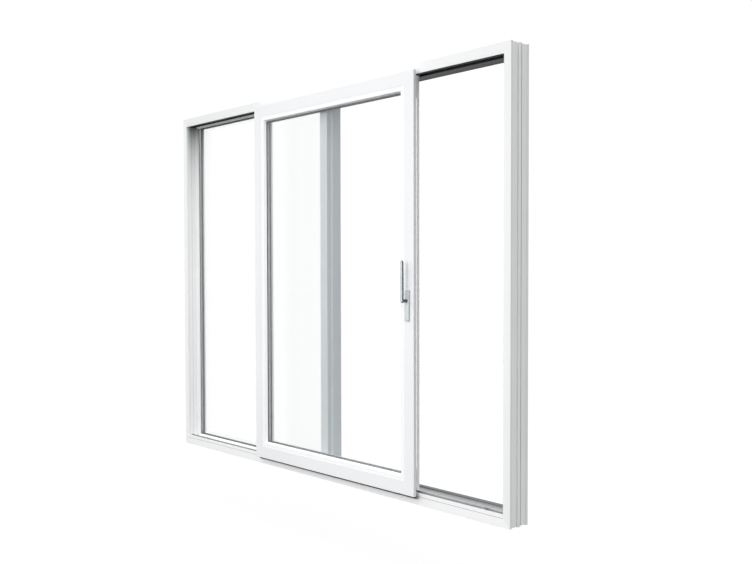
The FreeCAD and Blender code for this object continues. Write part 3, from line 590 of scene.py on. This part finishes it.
add_piece("head_pile_strips", [
    pile_strip(guide_low[X], mullion_high[X] - MULLION_FACE, guide_high[Y] + SEAL_GAP,
               fixed_low[Y] - SEAL_GAP, guide_high[Z] + SEAL_GAP),
    pile_strip(mullion_high[X] + SEAL_GAP, guide_high[X], guide_high[Y] + SEAL_GAP,
               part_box("head_infill")[0][Y] - SEAL_GAP, guide_high[Z] + SEAL_GAP),
], brush_pile("black_pile"), "frame", around=True)

LIP_LEAN, LIP_HANG, LIP_THICK, LIP_THIN = 0.009, 0.0155, 0.003, 0.001
# How far the lip hangs before the frame's front, and how far it stops short of the sash's ends.
LIP_DEPTH, LIP_END = 0.0225, 0.006


def lip_seal(start, end, depth, root):
    """A rubber lip that hangs under a profile along X, leaning back as it goes down.

    With v from 0 at the root to 1 at the tip, its middle is 9 v^1.6 mm back and 15.5 v mm
    down, and it thins from 3 mm to 1 mm in a straight line.
    """
    v = np.linspace(0.0, 1.0, 9)
    middle = depth + LIP_LEAN * v ** 1.6
    half = (LIP_THICK - (LIP_THICK - LIP_THIN) * v) / 2
    fall = root - LIP_HANG * v
    return points(np.linspace(start, end, 40)[:, None],
                  np.concatenate([middle - half, (middle + half)[::-1]]),
                  np.concatenate([fall, fall[::-1]]))


add_piece("sash_bottom_lip", [
    lip_seal(sash_low[X] + LIP_END, sash_high[X] - LIP_END, front - LIP_DEPTH,
             sash_low[Z] + SEAL_GAP),
], black_rubber, "sash", around=True)


# Handle

def rounded_loop(centre, half, corner):
    """Points round a rectangle with rounded corners: corner centres + r (cos a, sin a)."""
    angle = np.linspace(0.0, math.pi / 2, 8)
    loop = []
    for quarter, (side_x, side_z) in enumerate(((1, 1), (-1, 1), (-1, -1), (1, -1))):
        turn = angle + quarter * math.pi / 2
        loop.append(np.stack([
            centre[0] + side_x * (half[0] - corner) + corner * np.cos(turn),
            centre[1] + side_z * (half[1] - corner) + corner * np.sin(turn)], axis=-1))
    return np.concatenate(loop)


def pressed_plate(low, high, corner, steps):
    """A plate whose face is built of rounded rectangles, one for each step of its section.

    Each step is an inset from the plate's edge and a height above its back, which is measured
    from the high side along -Y. The corner's radius shrinks with the inset, to 0.8 mm at least.
    """
    centre = ((low[X] + high[X]) / 2, (low[Z] + high[Z]) / 2)
    half = ((high[X] - low[X]) / 2, (high[Z] - low[Z]) / 2)
    rows = []
    for inset, height in steps:
        loop = rounded_loop(centre, (half[0] - inset, half[1] - inset), max(corner - inset, 0.0008))
        rows.append(points(loop[:, 0], high[Y] - height, loop[:, 1]))
    return np.array(rows)


def quarter_round(inset, height, radius):
    """The steps of a rounded rim: a quarter circle up to the given height and inset."""
    angle = np.linspace(0.0, math.pi / 2, 6)
    return [(inset - radius * math.cos(a), height - radius * (1 - math.sin(a))) for a in angle]


# The cover plate has a thin flat border and a raised middle with a rounded rim.
PLATE_CORNER, PLATE_RIM = 0.005, 0.0025
plate_depth = plate_high[Y] - plate_low[Y]
plate_steps = [(0.0, 0.0), (0.0, 0.0012), (0.0003, 0.0018), (0.0022, 0.0019)]
plate_steps += quarter_round(0.0047, plate_depth, PLATE_RIM)
plate_steps += [(0.009, plate_depth), (0.013, plate_depth)]
plate = add_piece("handle_cover_plate",
                  [pressed_plate(plate_low, plate_high, PLATE_CORNER, plate_steps)],
                  plate_metal_painted_shade, "sash", around=True)
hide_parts("handle_backplate")

GRIP_END, GRIP_CORNER = 0.006, 0.3
HEEL_WIDTH, TIP_WIDTH = 0.014, 0.0125
HEEL_THICKNESS, TIP_THICKNESS = 0.0125, 0.0115


def lever_grip(low, high, spindle):
    """The lever: sections across Z, each a rounded box x = a |cos t|^0.3, y = b |sin t|^0.3.

    a and b, the half width and half thickness, taper in a straight line from heel to tip. At
    a distance d under 6 mm from either end, c = sqrt(1 - (1 - d / 6 mm)^2) closes the lever:
    b is multiplied by sqrt(c), and a by sqrt(c) (1 - 0.3 (1 - c)).
    """
    length = high[Z] - low[Z]
    ends = GRIP_END * (1 - np.cos(np.linspace(0.0, math.pi / 2, 9)))
    straight = np.linspace(2 * GRIP_END, length - 2 * GRIP_END, 30)
    run = np.concatenate([ends, straight, length - ends[::-1]])
    near = np.clip(np.minimum(run, length - run) / GRIP_END, 0.0, 1.0)
    close = np.sqrt(1 - (1 - near) ** 2)
    share = run / length
    wide = (HEEL_WIDTH + (TIP_WIDTH - HEEL_WIDTH) * share) / 2
    thick = (HEEL_THICKNESS + (TIP_THICKNESS - HEEL_THICKNESS) * share) / 2
    angle = np.linspace(0.0, 2 * math.pi, 33)[:-1]
    round_x = np.sign(np.cos(angle)) * np.abs(np.cos(angle)) ** GRIP_CORNER
    round_y = np.sign(np.sin(angle)) * np.abs(np.sin(angle)) ** GRIP_CORNER
    narrow = (1 - 0.30 * (1 - close)) * close ** 0.5
    return points(spindle[X] + (wide * narrow)[:, None] * round_x,
                  (low[Y] + thick)[:, None] + (thick * close ** 0.5)[:, None] * round_y,
                  (low[Z] + run)[:, None])


def turned(section, centre):
    """Turn a section (distance from the axis, depth) round an axis along Y."""
    radius, depth = np.array(section).T[:, :, None]
    angle = np.linspace(0.0, 2 * math.pi, 33)[:-1]
    return points(centre[X] + radius * np.cos(angle), depth, centre[Z] + radius * np.sin(angle))


# The lever turns about this axis along Y. Its neck goes from the plate into the grip.
spindle = (0.792, 0.0, 1.000)
neck_root = lever_high[Y] - 0.0005
neck_section = [(0.0095, neck_root), (0.0095, neck_root - 0.004), (0.0090, neck_root - 0.0048),
                (0.0082, neck_root - 0.0052), (0.0080, neck_root - 0.012),
                (0.0074, neck_root - 0.022), (0.0070, lever_low[Y] + 0.007)]
lever = add_piece("handle_grip", [lever_grip(lever_low, lever_high, spindle),
                                  turned(neck_section, spindle)],
                  lever_metal_painted_shade, "handle", around=True)
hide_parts("handle_lever")


# Lock screws

SCREW_RADIUS, SCREW_DOME, SCREW_SINK = 0.0036, 0.0004, 0.0006
# The cross recess and its slopes, in radii.
CROSS_HALF_WIDTH, CROSS_WALL, CROSS_REACH, CROSS_END = 0.20, 0.06, 0.62, 0.07
# How many screws hold the faceplate, and how far they are from its ends and a keeper's ends.
FACEPLATE_SCREWS, FACEPLATE_END, KEEPER_END = 9, 0.045, 0.009


def screw_head(centre, facing):
    """A countersunk head with a cross recess, as a height along X over its disc.

    With r from 0 to 1 over the radius the face is domed by 0.4 (1 - r^2) mm. In the cross it
    sinks by 0.6 mm: where, in radii, the smaller of |y| and |z| is under 0.14 and the larger
    under 0.55, with slopes up to 0.20 and 0.62. The rim goes down by 0.6 mm into the steel.
    """
    r = np.linspace(1.0, 0.0, 16)[:, None]
    angle = np.linspace(0.0, 2 * math.pi, 41)[:-1]
    across, up = r * np.cos(angle), r * np.sin(angle)
    thin = np.minimum(np.abs(across), np.abs(up))
    far = np.maximum(np.abs(across), np.abs(up))
    cross = (np.clip((CROSS_HALF_WIDTH - thin) / CROSS_WALL, 0, 1)
             * np.clip((CROSS_REACH - far) / CROSS_END, 0, 1))
    height = SCREW_DOME * (1 - r ** 2) - SCREW_SINK * cross
    height = np.vstack([np.full((1, len(angle)), -SCREW_SINK), height])
    across = np.vstack([across[:1], across]) * SCREW_RADIUS
    up = np.vstack([up[:1], up]) * SCREW_RADIUS
    return points(centre[X] + facing * height, centre[Y] + across, centre[Z] + up)


faceplate_middle = (faceplate_low[Y] + faceplate_high[Y]) / 2
faceplate_heights = np.linspace(faceplate_low[Z] + FACEPLATE_END, faceplate_high[Z] - FACEPLATE_END,
                            FACEPLATE_SCREWS)
add_piece("faceplate_screws", [
    screw_head((faceplate_high[X], faceplate_middle, z), 1) for z in faceplate_heights
], screw_steel, "sash", around=True)

# Each keeper is a box, so the heights of their corners are the low and high end of each.
keeper_middle = (keeper_low[Y] + keeper_high[Y]) / 2
keeper_mesh = nodes["lock_keepers"].data
keeper_corners = np.empty(len(keeper_mesh.vertices) * 3)
keeper_mesh.vertices.foreach_get("co", keeper_corners)
keeper_ends = np.unique(keeper_corners.reshape(-1, 3)[:, Z].round(4)).reshape(-1, 2)
add_piece("keeper_screws", [
    screw_head((keeper_low[X], keeper_middle, z), -1)
    for low_end, high_end in keeper_ends for z in (low_end + KEEPER_END, high_end - KEEPER_END)
], screw_steel, "frame", around=True)


# Camera, light and floor

# The camera is fitted to the edges in the photo, in pixels and degrees.
PICTURE_WIDTH, FOCAL_LENGTH, UPWARD_SHIFT = 752, 912.4, 17.8
YAW, PITCH, ROLL = math.radians(48.174), math.radians(1.770), math.radians(-0.113)
camera = bpy.data.objects.new("camera", bpy.data.cameras.new("camera"))
aim = Euler((math.pi / 2 - PITCH, 0.0, YAW)).to_matrix() @ Matrix.Rotation(ROLL, 3, "Z")
camera.matrix_world = Matrix.LocRotScale((3.9876, -3.1698, 1.1421), aim, None)
camera.data.sensor_width = 36.0
camera.data.lens = FOCAL_LENGTH / PICTURE_WIDTH * camera.data.sensor_width
camera.data.shift_y = UPWARD_SHIFT / PICTURE_WIDTH
camera.data.clip_end = 200.0
bpy.context.scene.collection.objects.link(camera)
bpy.context.scene.camera = camera


def softbox(name, place, target, width, height, power):
    """A rectangular lamp that faces a point."""
    lamp = bpy.data.lights.new(name, "AREA")
    lamp.shape = "RECTANGLE"
    lamp.size = width
    lamp.size_y = height
    lamp.energy = power
    holder = bpy.data.objects.new(name, lamp)
    holder.location = place
    right, away, up = (t - p for t, p in zip(target, place))
    yaw = math.atan2(-right, away)
    lift = math.atan2(up, math.hypot(right, away))
    holder.rotation_euler = (math.pi / 2 + lift, 0.0, yaw)
    bpy.context.scene.collection.objects.link(holder)


softbox("front_softbox", (-0.5, -6.5, 2.4), (0.0, 0.0, 1.0), 5.0, 3.0, 60.0)
softbox("side_softbox", (1.25, -3.3, 1.5), (-1.3, 0.0, 1.0), 1.2, 2.4, 38.0)

# The sky lights the door a little more than it shows, and the floor shows but gives little light.
SKY_LIGHT, SKY_SHOWN = 1.2, 1.03
FLOOR, FLOOR_REACH = -0.30, 60.0
world = bpy.data.worlds.new("studio")
bpy.context.scene.world = world
sky = Finish(world)
backdrop = sky.add("ShaderNodeBackground", {}, {
    "Color": opaque((1.0, 1.0, 1.0)),
    "Strength": SKY_LIGHT - sky.seen() * (SKY_LIGHT - SKY_SHOWN)})
sky.add("ShaderNodeOutputWorld", {}, {"Surface": backdrop.outputs[0]})

floor_mesh = bpy.data.meshes.new("floor")
floor_mesh.from_pydata([(x * FLOOR_REACH, y * FLOOR_REACH, FLOOR)
                        for x, y in ((-1, -1), (1, -1), (1, 1), (-1, 1))], [], [(0, 1, 2, 3)])
floor = bpy.data.objects.new("floor", floor_mesh)
bpy.context.scene.collection.objects.link(floor)
paper = new_finish("floor_paper")
matt = paper.add("ShaderNodeBsdfDiffuse", {}, {"Color": opaque((0.03, 0.03, 0.03))})
bright = paper.add("ShaderNodeEmission", {}, {"Color": opaque((1.0, 1.0, 1.0)), "Strength": 0.68})
pale = paper.add("ShaderNodeBsdfDiffuse", {}, {"Color": opaque((0.29, 0.29, 0.29))})
lit = paper.add("ShaderNodeAddShader", {}, {0: bright.outputs[0], 1: pale.outputs[0]})
floor_mesh.materials.append(paper.surface(paper.add("ShaderNodeMixShader", {}, {
    0: paper.seen(), 1: matt.outputs[0], 2: lit.outputs[0]})))

scene = bpy.context.scene
scene.view_settings.view_transform = "Standard"
